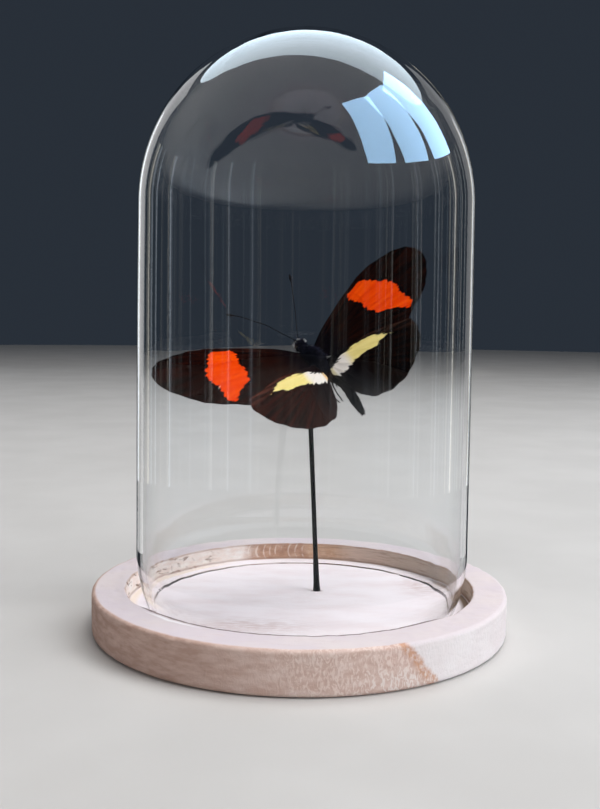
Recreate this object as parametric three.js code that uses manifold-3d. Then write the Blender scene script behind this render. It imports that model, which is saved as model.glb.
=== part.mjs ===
// A spread butterfly on a rod, under a glass dome on a round wooden base.
// Millimetres, +Z up. The origin is the centre of the base's underside.
import * as THREE from 'three';
import { mergeVertices } from 'three/addons/utils/BufferGeometryUtils.js';
import Module from 'manifold-3d';

const wasm = await Module();
wasm.setup();

// ---------------------------------------------------------------- driving dimensions

const GAP = 0.3; // left between neighbouring pieces

const BASE_RADIUS = 50;
const BASE_HEIGHT = 9.9;
const BASE_EDGE = 0.5; // softened corners
const RECESS_RADIUS = 41.9;
const RECESS_DEPTH = 4.6;
const FLOOR = BASE_HEIGHT - RECESS_DEPTH; // the recess floor

const GLASS_RADIUS = 39.5; // at the shoulder
const GLASS_FLARE = 0.6; // wider by this just above the foot
const GLASS_WALL = 1.5;
const GLASS_SHIFT = 0.5; // the dome stands a little off centre
const GLASS_SHOULDER = 100.6; // the straight wall ends here
const GLASS_TOP = 141;
const GLASS_FOOT_HEIGHT = 13.7; // the lower wall draws in over this height
const GLASS_FOOT_INSET = 2.8;

const ROD_RADIUS = 0.58;
const ROD_FOOT_RADIUS = 1.0;
const ROD_FOOT_HEIGHT = 1.3;
const ROD_TENON = 2.4; // length held in the base
const ROD_FOOT = new THREE.Vector3(4.3, 8.6, FLOOR);
const ROD_TOP = new THREE.Vector3(1.5, 10.3, 62.65);

const SPECIMEN_PLACE = new THREE.Vector3(3.1, 8.4, 63.1);
const HEADING = 51.8; // degrees, the head turned to the left
const CLIMB = 43.9; // the head raised
const BANK = -34.4; // the right wing raised

const THORAX = { length: 8.8, radius: 2.35, centre: new THREE.Vector3(-0.1, 0.1, 0.7) };
const HEAD = { centre: new THREE.Vector3(-0.4, 6.1, 0.6), width: 2.7, length: 2.1, height: 2.3 };
const EYE = { radius: 0.88, spread: 0.98, fore: 0.12 };
const ABDOMEN_RADIUS = 1.2;
const WING_THICKNESS = 0.25;

// hinge: the wing root; dihedral lifts the tip, incidence lifts the leading edge (degrees)
const WINGS = {
  forewing: {
    hinge: [1.3, 2.2, 1.25],
    left: { dihedral: 16.9, incidence: -8.8, sweep: -1.7 },
    right: { dihedral: 14.8, incidence: -15.0, sweep: 1.7 },
  },
  hindwing: {
    hinge: [1.3, -1.2, 2.85],
    left: { dihedral: 19.6, incidence: 3.5, sweep: 0 },
    right: { dihedral: 19.3, incidence: 3.6, sweep: 0 },
  },
};

// Wing outlines as [outwards, forwards] from the hinge: leading edge, outer margin, inner margin.
const FOREWING_OUTLINE = [
  [[0.4, 1.4], [5.3, 5.1], [11, 8.05], [17, 10.6], [23, 12.75], [29, 13.6], [34.6, 13.1], [38, 11.5]],
  [[39.5, 8.8], [39.2, 5.2], [37.4, 2], [35.1, -0.9], [32.6, -3.3], [29.6, -5.2], [27, -6.4], [24.6, -8]],
  [[22.4, -8.8], [18, -8.3], [12, -7], [6.5, -5.6], [2.8, -4.0], [0.5, -2]],
];
const HINDWING_OUTLINE = [
  [[0.5, -0.5], [3, -0.6], [7, -0.9], [11.6, -1.25], [16, -2.1], [20.7, -3.7], [23.6, -4.8]],
  [[23.9, -6.8], [22.9, -9.4], [21.2, -11.6], [18, -14], [14.4, -15.8], [10.2, -16.6], [7.2, -16.3]],
  [[4.4, -15.3], [2.4, -13.5], [1.5, -12], [0.7, -9.3], [-0.1, -7], [-0.5, -4.6], [-0.1, -2.4], [0.4, -1]],
];

// Routes in the specimen's own frame: +X to its right, +Y ahead, +Z dorsal.
const ABDOMEN_ROUTE = [
  [0.1, -4.5, 1.0], [0.4, -7.4, 2.3], [0.8, -9.7, 3.3], [1.0, -12, 3.65], [1.0, -14.4, 3.4], [0.9, -16.9, 3.1],
  [0.8, -19.1, 2.85],
];
const ANTENNA_ROUTES = {
  left: [
    [-1.1, 7.4, 1.7], [-3.3, 10.2, 2.8], [-5.4, 13.7, 3.2], [-7.5, 17, 2.9], [-9.4, 20.4, 1.9], [-11.4, 23.8, 0.1],
  ],
  right: [
    [-0.2, 7.4, 1.6], [1.3, 10.6, 2.3], [3.2, 14.1, 2.8], [5, 17.7, 3.1], [6.9, 21.3, 3.1], [8.6, 24.8, 2.9],
  ],
};
const LEG_ROUTES = {
  middle: [[1.5, -0.2, -1.7], [3.3, 0.4, -3.1], [3.6, -3.2, -4], [3, -6.4, -4.2]],
  hind: [[0.9, -2.2, -1.7], [2.1, -3.9, -2.9], [1.5, -7.4, -3.2], [1.2, -11, -3]],
};
const LEG_RADIUS = 0.17;
const LEG_LEAN = { middle: 0.55, hind: 1.5 }; // the left legs are drawn in towards the middle

// ---------------------------------------------------------------- shape helpers

const degrees = THREE.MathUtils.degToRad;
const point = ([x, y, z]) => new THREE.Vector3(x, y, z);
const side = { left: -1, right: 1 };

// A profile of [radius, height] pairs turned about +Z.
function turned(profile, segments) {
  const points = profile.map(([radius, height]) => new THREE.Vector2(radius, height));
  return new THREE.LatheGeometry(points, segments).rotateX(Math.PI / 2);
}

// A closed egg-like profile between two poles.
function eggProfile(length, radius, steps) {
  const profile = [];
  for (let i = 0; i <= steps; i++) {
    const angle = (Math.PI * i) / steps;
    profile.push([i % steps ? radius * Math.sin(angle) : 0, (-length / 2) * Math.cos(angle)]);
  }
  return profile;
}

// A round section drawn along a route, with its radius given along the way from 0 to 1.
function swept(route, radiusAt, sides, steps) {
  const path = new THREE.CatmullRomCurve3(route, false, 'centripetal');
  const unit = 0.1;
  const section = new THREE.Shape().absarc(0, 0, unit, 0, 2 * Math.PI);
  const options = { steps, curveSegments: sides / 2, bevelEnabled: false, extrudePath: path };
  const geometry = new THREE.ExtrudeGeometry(section, options);
  const stations = path.getSpacedPoints(steps);
  const vertex = new THREE.Vector3();
  const position = geometry.attributes.position;
  for (let i = 0; i < position.count; i++) {
    vertex.fromBufferAttribute(position, i);
    const distances = stations.map((station) => station.distanceTo(vertex));
    const nearest = distances.indexOf(Math.min(...distances));
    const offset = vertex.sub(stations[nearest]).multiplyScalar(radiusAt(nearest / steps) / unit);
    offset.add(stations[nearest]);
    position.setXYZ(i, offset.x, offset.y, offset.z);
  }
  return geometry;
}

function solidOf(geometry) {
  const bare = geometry.clone();
  bare.deleteAttribute('normal');
  bare.deleteAttribute('uv');
  const merged = mergeVertices(bare, 1e-4);
  const triangles = [];
  for (let i = 0; i < merged.index.count; i += 3) {
    const [a, b, c] = [0, 1, 2].map((k) => merged.index.getX(i + k));
    if (a !== b && b !== c && c !== a) triangles.push(a, b, c);
  }
  const vertProperties = merged.attributes.position.array;
  const triVerts = new Uint32Array(triangles);
  return new wasm.Manifold(new wasm.Mesh({ numProp: 3, vertProperties, triVerts }));
}

function geometryOf(solid) {
  const { vertProperties, triVerts } = solid.getMesh();
  const geometry = new THREE.BufferGeometry();
  geometry.setAttribute('position', new THREE.BufferAttribute(vertProperties, 3));
  geometry.setIndex(new THREE.BufferAttribute(triVerts, 1));
  geometry.computeVertexNormals();
  return geometry;
}

function named(name, geometry, material) {
  const mesh = new THREE.Mesh(geometry, material);
  mesh.name = name;
  return mesh;
}

// ---------------------------------------------------------------- materials

const finish = (color, roughness, extra = {}) => new THREE.MeshStandardMaterial({ color, roughness, ...extra });
const woodFinish = () => finish(0xd8cfcc, 0.8);
const glassFinish = () => finish(0xeef4f2, 0.05, { transparent: true, opacity: 0.25 });
const rodFinish = () => finish(0x16161a, 0.45, { metalness: 0.3 });
const bodyFinish = () => finish(0x1c191d, 0.85);
const limbFinish = () => finish(0x17120f, 0.6);
const wingFinish = () => finish(0x2a1c18, 0.7);

// ---------------------------------------------------------------- holder

function rodMatrix() {
  const direction = new THREE.Vector3().subVectors(ROD_TOP, ROD_FOOT).normalize();
  const turn = new THREE.Quaternion().setFromUnitVectors(new THREE.Vector3(0, 0, 1), direction);
  return new THREE.Matrix4().compose(ROD_FOOT, turn, new THREE.Vector3(1, 1, 1));
}

function base() {
  const disc = turned([
    [0, 0], [BASE_RADIUS - BASE_EDGE, 0], [BASE_RADIUS, BASE_EDGE],
    [BASE_RADIUS, BASE_HEIGHT - BASE_EDGE], [BASE_RADIUS - BASE_EDGE, BASE_HEIGHT],
    [RECESS_RADIUS + BASE_EDGE / 2, BASE_HEIGHT], [RECESS_RADIUS, BASE_HEIGHT - BASE_EDGE / 2],
    [RECESS_RADIUS, FLOOR], [0, FLOOR],
  ], 72);
  const depth = ROD_TENON + GAP;
  const hole = new THREE.CylinderGeometry(ROD_RADIUS + GAP, ROD_RADIUS + GAP, depth + 1, 16);
  hole.rotateX(Math.PI / 2).translate(0, 0, (1 - depth) / 2).applyMatrix4(rodMatrix());
  return named('base', geometryOf(solidOf(disc).subtract(solidOf(hole))), woodFinish());
}

// The outer radius at a height above the recess floor: it flares downwards, then draws in at the foot.
function wallRadius(height) {
  const flare = GLASS_FLARE * (1 - Math.min(1, height / (GLASS_SHOULDER - FLOOR)));
  const reach = Math.max(0, 1 - height / GLASS_FOOT_HEIGHT);
  return GLASS_RADIUS + flare - GLASS_FOOT_INSET * reach * reach;
}

// One skin of the dome from its foot to its crown, offset inwards from the outer skin.
function domeSkin(offset) {
  const skin = [];
  for (const height of [0.3, 3, 6, 9.5, GLASS_FOOT_HEIGHT, 45]) {
    skin.push([wallRadius(height) - offset, FLOOR + height]);
  }
  const steps = 12;
  for (let i = 0; i <= steps; i++) {
    const angle = (Math.PI / 2) * (i / steps);
    const radius = i < steps ? (GLASS_RADIUS - offset) * Math.cos(angle) : 0;
    const rise = (GLASS_TOP - GLASS_SHOULDER - offset) * Math.sin(angle);
    skin.push([radius, GLASS_SHOULDER + rise]);
  }
  return skin;
}

function dome() {
  const outer = domeSkin(0);
  const inner = domeSkin(GLASS_WALL).reverse();
  const rim = wallRadius(0) - GLASS_WALL / 2;
  const lip = [[rim - 0.55, FLOOR], [rim + 0.55, FLOOR]];
  const skin = turned([...outer, ...inner, ...lip, outer[0]], 48);
  const mesh = named('dome', geometryOf(solidOf(skin)), glassFinish());
  mesh.position.x = GLASS_SHIFT;
  return mesh;
}

function rod() {
  const length = ROD_TOP.distanceTo(ROD_FOOT);
  const geometry = turned([
    [0, -ROD_TENON], [ROD_RADIUS, -ROD_TENON], [ROD_RADIUS, GAP], [ROD_FOOT_RADIUS, GAP],
    [ROD_FOOT_RADIUS * 0.9, ROD_FOOT_HEIGHT / 2], [ROD_RADIUS, ROD_FOOT_HEIGHT],
    [ROD_RADIUS * 0.95, length - 0.5], [ROD_RADIUS * 0.6, length], [0, length],
  ], 16);
  return named('rod', geometry.applyMatrix4(rodMatrix()), rodFinish());
}

// ---------------------------------------------------------------- butterfly

// The thorax, or the larger shape that its neighbours are cut back to.
function thoraxShape(room = 0) {
  const profile = eggProfile(THORAX.length + 2 * room, THORAX.radius + room, 12);
  const { x, y, z } = THORAX.centre;
  return turned(profile, 20).rotateX(-Math.PI / 2).translate(x, y, z);
}

function abdomenShape(room = 0) {
  const radiusAt = (t) => room + ABDOMEN_RADIUS * Math.sqrt(Math.max(0.04, 1 - ((t - 0.42) / 0.6) ** 2));
  return swept(ABDOMEN_ROUTE.map(point), radiusAt, 12, 18);
}

function head() {
  const skull = new THREE.SphereGeometry(0.5, 18, 12).scale(HEAD.width, HEAD.length, HEAD.height);
  let solid = solidOf(skull);
  for (const sign of [-1, 1]) {
    const eye = new THREE.SphereGeometry(EYE.radius, 14, 10).translate(sign * EYE.spread, EYE.fore, 0);
    solid = solid.add(solidOf(eye));
  }
  const { x, y, z } = HEAD.centre;
  return named('head', geometryOf(solid).translate(x, y, z), bodyFinish());
}

// The thorax ends short of the head and the abdomen.
function thorax() {
  const { x, y, z } = HEAD.centre;
  const headRoom = new THREE.SphereGeometry(0.5, 18, 12);
  headRoom.scale(HEAD.width + 2 * GAP, HEAD.length + 2 * GAP, HEAD.height + 2 * GAP).translate(x, y, z);
  const solid = solidOf(thoraxShape()).subtract(solidOf(headRoom)).subtract(solidOf(abdomenShape(GAP)));
  return named('thorax', geometryOf(solid), bodyFinish());
}

function abdomen() {
  const solid = solidOf(abdomenShape());
  return named('abdomen', geometryOf(solid), bodyFinish());
}

function wing(kind, sideName, outline) {
  const sign = side[sideName];
  const { hinge } = WINGS[kind];
  const { dihedral, incidence, sweep } = WINGS[kind][sideName];
  const at = ([outwards, forwards]) => new THREE.Vector2(sign * outwards, forwards);
  const shape = new THREE.Shape();
  const [start] = outline[0];
  shape.moveTo(at(start).x, at(start).y);
  shape.splineThru(outline[0].slice(1).map(at));
  for (const stretch of outline.slice(1)) shape.splineThru(stretch.map(at));
  const plate = new THREE.ExtrudeGeometry(shape, { depth: WING_THICKNESS, bevelEnabled: false, curveSegments: 2 });
  plate.translate(0, 0, -WING_THICKNESS / 2);
  const turn = new THREE.Euler(degrees(incidence), -sign * degrees(dihedral), sign * degrees(sweep), 'YXZ');
  const place = new THREE.Vector3(sign * hinge[0], hinge[1], hinge[2]);
  const matrix = new THREE.Matrix4().makeRotationFromEuler(turn).setPosition(place);
  plate.applyMatrix4(matrix);
  const solid = solidOf(plate).subtract(solidOf(thoraxShape(GAP))).subtract(solidOf(abdomenShape(GAP)));
  return named(`${kind}_${sideName}`, geometryOf(solid), wingFinish());
}

function antenna(sideName) {
  const radiusAt = (t) => 0.15 + 0.27 * Math.exp(-(((t - 0.93) / 0.075) ** 2));
  const geometry = swept(ANTENNA_ROUTES[sideName].map(point), radiusAt, 8, 22);
  return named(`antenna_${sideName}`, geometry, limbFinish());
}

function leg(pair, sideName) {
  const sign = side[sideName];
  const lean = sideName === 'left' ? LEG_LEAN[pair] : 0;
  const route = LEG_ROUTES[pair].map(([x, y, z], i) => new THREE.Vector3(sign * x + (lean * i) / 3, y, z));
  const radiusAt = (t) => LEG_RADIUS * (1.25 - 0.55 * t);
  return named(`leg_${pair}_${sideName}`, swept(route, radiusAt, 6, 12), limbFinish());
}

function butterfly() {
  const group = new THREE.Group();
  group.add(thorax(), head(), abdomen());
  for (const sideName of ['left', 'right']) {
    group.add(wing('forewing', sideName, FOREWING_OUTLINE), wing('hindwing', sideName, HINDWING_OUTLINE));
    group.add(antenna(sideName), leg('middle', sideName), leg('hind', sideName));
  }
  group.position.copy(SPECIMEN_PLACE);
  group.rotation.set(degrees(CLIMB), degrees(BANK), degrees(HEADING), 'ZXY');
  return group;
}

const insectInDome = new THREE.Group();
insectInDome.add(base(), dome(), rod(), butterfly());

export default insectInDome;
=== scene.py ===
"""A spread butterfly on a thin rod under a glass dome, on a round whitewashed wooden base.

Lengths are millimetres, which SCALE turns into metres when a mesh is made. Lamps and the camera are placed
in metres. In a material, a colour of three numbers is a display colour from 0 to 255, and one of four is
linear, as the lamps' colours are.
"""
import math

import bpy
import numpy as np
from mathutils import Matrix, Vector
from mathutils.geometry import delaunay_2d_cdt


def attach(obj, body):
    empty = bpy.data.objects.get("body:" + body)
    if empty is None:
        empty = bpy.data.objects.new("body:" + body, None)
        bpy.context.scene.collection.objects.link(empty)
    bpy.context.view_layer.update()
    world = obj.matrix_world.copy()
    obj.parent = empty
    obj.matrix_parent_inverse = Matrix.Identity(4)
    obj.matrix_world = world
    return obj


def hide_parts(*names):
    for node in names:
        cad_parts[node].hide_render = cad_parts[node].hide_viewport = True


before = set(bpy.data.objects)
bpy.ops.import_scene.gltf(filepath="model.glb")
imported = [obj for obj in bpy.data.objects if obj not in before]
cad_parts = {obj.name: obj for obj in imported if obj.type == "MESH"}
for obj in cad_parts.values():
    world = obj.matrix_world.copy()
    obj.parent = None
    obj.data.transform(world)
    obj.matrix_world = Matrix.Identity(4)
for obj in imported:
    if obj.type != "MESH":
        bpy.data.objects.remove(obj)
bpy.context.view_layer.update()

SCALE = 0.001
TURN = 2 * math.pi
POLE = 0.01  # radius of the smallest ring of a turned shape

# ---------------------------------------------------------------- dimensions

BASE_RADIUS = 50.0
BASE_HEIGHT = 9.9
RECESS_RADIUS = 41.9
FLOOR = 5.3  # height of the recess floor
LIP_DRAWN_IN = 1.8  # how far the recess's lip comes in at the front

GLASS_RADIUS = 39.5
GLASS_FLARE = 0.6
GLASS_WALL = 1.5
GLASS_SHIFT = 0.5
GLASS_SHOULDER = 100.6
GLASS_TOP = 141.0
GLASS_FOOT_HEIGHT = 13.7
GLASS_FOOT_INSET = 2.8

ROD_RADIUS = 0.58
ROD_FOOT = np.array([4.3, 8.6, 5.3])
ROD_TOP = np.array([1.5, 10.3, 62.65])
ROD_PAST_TOP = 0.9
ROD_SUNK = 1.5

PLACE = np.array([3.1, 8.4, 63.1])  # the butterfly's own origin
HEADING, CLIMB, BANK = 51.8, 43.9, -34.4  # degrees

SIDES = {"left": -1, "right": 1}
HINGES = {"forewing": (1.3, 2.2, 1.25), "hindwing": (1.3, -1.2, 2.85)}
# dihedral, incidence and sweep in degrees
SET = {
    ("forewing", "left"): (16.9, -8.8, -1.7),
    ("forewing", "right"): (14.8, -15.0, 1.7),
    ("hindwing", "left"): (19.6, 3.5, 0.0),
    ("hindwing", "right"): (19.3, 3.6, 0.0),
}
# how much each wing faces the light: painted light, lightening and reddening the dark scales of the wings
# that face it; it also sets the colour of the hindwing bar's very end
LIT = {
    ("forewing", "left"): 0.25,
    ("forewing", "right"): 0.1,
    ("hindwing", "left"): 0.6,
    ("hindwing", "right"): 0.0,
}

# Outlines and markings are [outwards, forwards] from the wing's hinge. An outline is three curves end to end.
OUTLINES = {
    "forewing": [
        [(0.4, 1.4), (5.3, 5.1), (11, 8.05), (17, 10.6), (23, 12.75), (29, 13.6), (34.6, 13.1), (38, 11.5)],
        [(39.5, 8.8), (39.2, 5.2), (37.4, 2), (35.1, -0.9), (32.6, -3.3), (29.6, -5.2), (27, -6.4),
         (24.6, -8)],
        [(22.4, -8.8), (18, -8.3), (12, -7), (6.5, -5.6), (2.8, -4), (0.5, -2)],
    ],
    "hindwing": [
        [(0.5, -0.5), (3, -0.6), (7, -0.9), (11.6, -1.25), (16, -2.1), (20.7, -3.7), (23.6, -4.8)],
        [(23.9, -6.8), (22.9, -9.4), (21.2, -11.6), (18, -14), (14.4, -15.8), (10.2, -16.6), (7.2, -16.3)],
        [(4.4, -15.3), (2.4, -13.5), (1.5, -12), (0.7, -9.3), (-0.1, -7), (-0.5, -4.6), (-0.1, -2.4),
         (0.4, -1)],
    ],
}
MARKS = {
    "forewing": [
        (22, 11), (20.5, 10.7), (18.6, 10.2), (16.7, 9.6), (16.55, 7.5), (17.1, 5.8), (18, 4.25), (17.7, 2.1),
        (18.6, 0.3), (19, -1.3), (20.5, -2.1), (22, -2.8), (23.45, -3.7), (24.8, -4.8), (26.2, -5.5),
        (28, -5.1), (28, -3.2), (27.4, -1.4), (27.7, 1), (28.3, 2.8), (27.6, 4.5), (26.8, 6.05), (25.4, 7.2),
        (24.2, 8.3), (23.3, 10.1),
    ],
    "hindwing": [
        (18, -5.1), (15.7, -3.7), (14.1, -3), (12.25, -2.4), (10.6, -2), (8.55, -1.85), (6.8, -1.8),
        (4.8, -2.1), (3.1, -2.4), (1.2, -3), (-0.6, -3.4), (-0.8, -4.6), (0.4, -6.1), (2.45, -6.1),
        (4.1, -5.7), (6.1, -5.4), (7.8, -5.2), (9.8, -5.1), (11.6, -5.1), (13.5, -4.95), (15.2, -4.6),
    ],
}
NICKS = [[(27.9, -0.65), (26.95, 0)], [(30.2, 8.65), (29.9, 8.7)]]  # pale rubbed places, left forewing
# each vein: its width at the root and its route
VEINS = {
    "forewing": [
        (0.30, [(0.3, 1), (5.5, 4.75), (11, 7.6), (17, 10.1), (22, 12)]),
        (0.30, [(0.3, 0.6), (6, 4), (12, 6.5), (17.5, 8.4), (24, 10.2), (29, 11.3), (34.5, 12.9)]),
        (0.18, [(14, 7.2), (20, 9.9), (26.5, 13.2)]),
        (0.16, [(18.5, 8.7), (24.5, 11), (31, 13.5)]),
        (0.16, [(29, 11.3), (33.5, 11.7), (37.7, 11.6)]),
        (0.16, [(29, 11.3), (34, 10.6), (39.3, 9.2)]),
        (0.18, [(18.9, 7.6), (26, 8.4), (33, 7.8), (39.1, 6.2)]),
        (0.18, [(18.9, 6), (26, 5.9), (32, 4.9), (38.2, 3.3)]),
        (0.18, [(18.4, 4.2), (25, 3.2), (31, 1.3), (36, 0.2)]),
        (0.18, [(16.6, 3), (22, 1.2), (28, -1.2), (33.3, -2.7)]),
        (0.20, [(12, 2.1), (17, -0.6), (23, -3.5), (29.7, -5.1)]),
        (0.26, [(0.3, 0.3), (6, 1.6), (12, 2.1), (16.6, 3), (18.4, 4.2), (18.9, 6), (18.9, 7.6),
                (18.3, 8.6)]),
        (0.26, [(0.3, -0.3), (7, -2.6), (14, -5.1), (20, -6.9), (26.4, -6.8)]),
    ],
    "hindwing": [
        (0.26, [(0.4, -0.8), (6, -1.5), (12, -2), (18, -3.4), (23, -5)]),
        (0.22, [(1.5, -1.3), (7, -2.9), (13, -4.1), (19, -5.7), (23.7, -7.4)]),
        (0.18, [(7, -2.9), (9.5, -4.1), (15, -6.8), (22.6, -9.8)]),
        (0.18, [(9.8, -4.9), (14.5, -8.6), (20.3, -12.3)]),
        (0.18, [(9.4, -6.3), (13, -10.3), (17.1, -14.4)]),
        (0.18, [(8.4, -7.2), (10.8, -11.5), (13.2, -16.1)]),
        (0.20, [(6.4, -6.4), (7.6, -11.5), (8.9, -16.5)]),
        (0.24, [(0.3, -1.6), (3.5, -4.2), (6.4, -6.4), (8.4, -7.2), (9.4, -6.3), (9.8, -4.9), (9.3, -4)]),
        (0.22, [(0.2, -2), (2.3, -6.5), (3.8, -11), (4.7, -15.4)]),
        (0.18, [(0.1, -2.2), (0.5, -6), (1, -10.1)]),
    ],
}

# Places on the body are [right, forwards, up] from the butterfly's own origin.
THORAX_CENTRE = np.array([-0.1, 0.1, 0.7])
THORAX_SIZE = np.array([2.25, 4.5, 2.2])
HEAD_CENTRE = np.array([-0.4, 6.1, 0.6])
HEAD_SIZE = np.array([1.42, 1.15, 1.25])
EYE_SEAT = np.array([0.93, 0.12, 0.02])
EYE_SIZE = np.array([0.66, 0.84, 0.9])
PALE_DOTS = [(-0.3, 6.95, 1.4), (-0.55, 6.95, 1.3), (-0.95, 6.95, 1.2), (-1.3, 6.9, 1), (-1.6, 6.6, 0.95),
             (0.64, 6.4, 1.5), (0.9, 6, 1.35)]
NECK_ROUTE = [(-0.25, 3.6, 0.7), (-0.3, 4.6, 0.7), (-0.38, 5.6, 0.62)]
PALP_ROUTE = [(0.42, 6.5, -0.1), (0.5, 7.3, 0.05), (0.42, 7.9, 0.75)]  # its first number is from the middle
ABDOMEN_ROUTE = [
    (0.1, -3.4, 0.9), (0.3, -5.6, 1.5), (0.4, -7.4, 2.3), (0.8, -9.7, 3.3), (1, -12, 3.65), (1, -14.4, 3.4),
    (0.9, -16.9, 3.1), (0.8, -19.1, 2.85),
]
ABDOMEN_GIRTH = [(0, 0.62), (0.12, 0.55), (0.25, 0.56), (0.4, 0.74), (0.52, 0.97), (0.62, 1.12), (0.72, 1.12),
                 (0.82, 0.96), (0.9, 0.7), (0.96, 0.4), (1, 0.1)]
ANTENNA_ROUTES = {
    "left": [
        (-0.8, 6.7, 1.3), (-1.1, 7.4, 1.7), (-3.3, 10.2, 2.8), (-5.4, 13.7, 3.2), (-7.5, 17, 2.9),
        (-9.4, 20.4, 1.9), (-11.4, 23.8, 0.1),
    ],
    "right": [
        (-0.35, 6.7, 1.2), (-0.2, 7.4, 1.6), (1.3, 10.6, 2.3), (3.2, 14.1, 2.8), (5, 17.7, 3.1),
        (6.9, 21.3, 3.1), (8.6, 24.8, 2.9),
    ],
}
LEG_ROUTES = {
    "middle": [(1.1, 0, -0.9), (1.5, -0.2, -1.7), (3.3, 0.4, -3.1), (3.6, -3.2, -4), (3, -6.4, -4.2)],
    "hind": [(0.6, -1.8, -0.9), (0.9, -2.2, -1.7), (2.1, -3.9, -2.9), (1.5, -7.4, -3.2), (1.2, -11, -3)],
}
LEG_LEAN = {"middle": 0.55, "hind": 1.5}  # the left legs are drawn in towards the middle

# ---------------------------------------------------------------- numbers and frames


def turn(axis, degrees):
    return np.array(Matrix.Rotation(math.radians(degrees), 3, axis))


BODY_TURN = turn("Z", HEADING) @ turn("X", CLIMB) @ turn("Y", BANK)


def from_body(points):
    """Points in the butterfly's own frame, put where the butterfly is."""
    return np.asarray(points, float) @ BODY_TURN.T + PLACE


def from_wing(kind, side, points):
    """Points in a wing's frame, [outwards, forwards, up], put where the wing is."""
    sign = SIDES[side]
    dihedral, incidence, sweep = SET[kind, side]
    own = turn("Y", -sign * dihedral) @ turn("X", incidence) @ turn("Z", sign * sweep)
    points = np.asarray(points, float) * (sign, 1, 1)
    return from_body(points @ own.T + np.array(HINGES[kind]) * (sign, 1, 1))


def noise(points, size, seed):
    """Smooth noise from -1 to 1 at points (n, 3), with features about size long."""
    cells = np.asarray(points, float) / size + 4096.0
    corner = np.floor(cells).astype(np.int64)
    part = cells - corner
    part = part * part * (3 - 2 * part)
    total = np.zeros(len(cells))
    for step in np.ndindex(2, 2, 2):
        key = (corner + step) * (73856093, 19349663, 83492791)
        code = key[:, 0] ^ key[:, 1] ^ key[:, 2] ^ (seed * 2654435761)
        code = (code ^ (code >> 13)) * 1274126177 & 0xFFFFFFFF
        code = (code ^ (code >> 16)) & 0xFFFF
        weight = np.prod(np.where(np.array(step) == 1, part, 1 - part), axis=1)
        total += weight * (code / 32767.5 - 1)
    return total


def rough(points, size, seed, octaves=3):
    """Several sizes of noise added up."""
    return sum(noise(points, size / 2 ** i, seed + i) / 2 ** i for i in range(octaves))


def clamp(values):
    return np.clip(values, 0, 1)


def hump(values, middle, width):
    """1 at the middle, falling away to both sides."""
    return np.exp(-((values - middle) / width) ** 2)


def normed(vectors):
    return vectors / np.linalg.norm(vectors, axis=-1, keepdims=True)


def flat(points):
    """Plan points with a zero third coordinate."""
    return np.column_stack([points, np.zeros(len(points))])


def spline(points, steps):
    """A uniform Catmull-Rom curve through the points."""
    points = np.asarray(points, float)
    last = len(points) - 1
    made = []
    for i in range(last):
        a, b, c, d = (points[min(max(i + k, 0), last)] for k in (-1, 0, 1, 2))
        for t in np.arange(steps) / steps:
            bend = (2 * a - 5 * b + 4 * c - d) * t ** 2 + (3 * b - a - 3 * c + d) * t ** 3
            made.append(0.5 * (2 * b + (c - a) * t + bend))
    return np.array(made + [points[last]])


def evenly(path, count):
    """count points at equal distances along a path."""
    gone = np.concatenate([[0], np.cumsum(np.linalg.norm(np.diff(path, axis=0), axis=1))])
    at = np.linspace(0, gone[-1], count)
    return np.column_stack([np.interp(at, gone, path[:, k]) for k in range(path.shape[1])])


def evenly_round(outline, count):
    """count points at equal distances round a closed outline."""
    return evenly(np.vstack([outline, outline[:1]]), count + 1)[:-1]


def distance_to_path(points, path):
    """Least distance from each plan point to a line through the path's points."""
    best = np.full(len(points), np.inf)
    for a, b in zip(path[:-1], path[1:]):
        run = b - a
        t = clamp((points - a) @ run / max(run @ run, 1e-12))
        best = np.minimum(best, np.linalg.norm(points - a - t[:, None] * run, axis=1))
    return best


def inside(points, outline):
    """True for each plan point inside the closed outline."""
    x, y = points[:, 0], points[:, 1]
    odd = np.zeros(len(points), bool)
    for (ax, ay), (bx, by) in zip(outline, np.roll(outline, -1, axis=0)):
        crosses = (ay > y) != (by > y)
        rise = by - ay if by != ay else 1e-12
        odd ^= crosses & (x < (bx - ax) * (y - ay) / rise + ax)
    return odd


def depth_in(points, outline):
    """Distance to the outline, positive inside it."""
    closed = np.vstack([outline, outline[:1]])
    return distance_to_path(points, closed) * np.where(inside(points, outline), 1, -1)


def outward(edge, outline):
    """A unit normal at each point of a closed edge, pointing out of the outline."""
    along = np.gradient(edge, axis=0)
    normal = normed(np.column_stack([along[:, 1], -along[:, 0]]))
    return -normal if inside(edge[:1] + normal[:1] * 0.2, outline)[0] else normal


# ---------------------------------------------------------------- mesh building


def mesh_object(name, points, faces, materials, fields=None):
    """A mesh in the scene. Each field gives every point a number or a vector."""
    mesh = bpy.data.meshes.new(name)
    mesh.from_pydata((np.asarray(points) * SCALE).tolist(), [], faces)
    for material in materials:
        mesh.materials.append(material)
    for field, values in (fields or {}).items():
        kind, key = ("FLOAT_VECTOR", "vector") if values.ndim == 2 else ("FLOAT", "value")
        layer = mesh.attributes.new(field, kind, "POINT")
        layer.data.foreach_set(key, values.astype(np.float32).ravel())
    mesh.update()
    made = bpy.data.objects.new(name, mesh)
    bpy.context.scene.collection.objects.link(made)
    return made


def volume(points, faces):
    """The signed volume of a closed mesh: negative if its faces point inwards."""
    corners = np.array([(f[0], f[k], f[k + 1]) for f in faces for k in range(1, len(f) - 1)])
    a, b, c = (points[corners[:, k]] - points[0] for k in range(3))
    return np.einsum("ij,ij->", a, np.cross(b, c)) / 6


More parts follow.
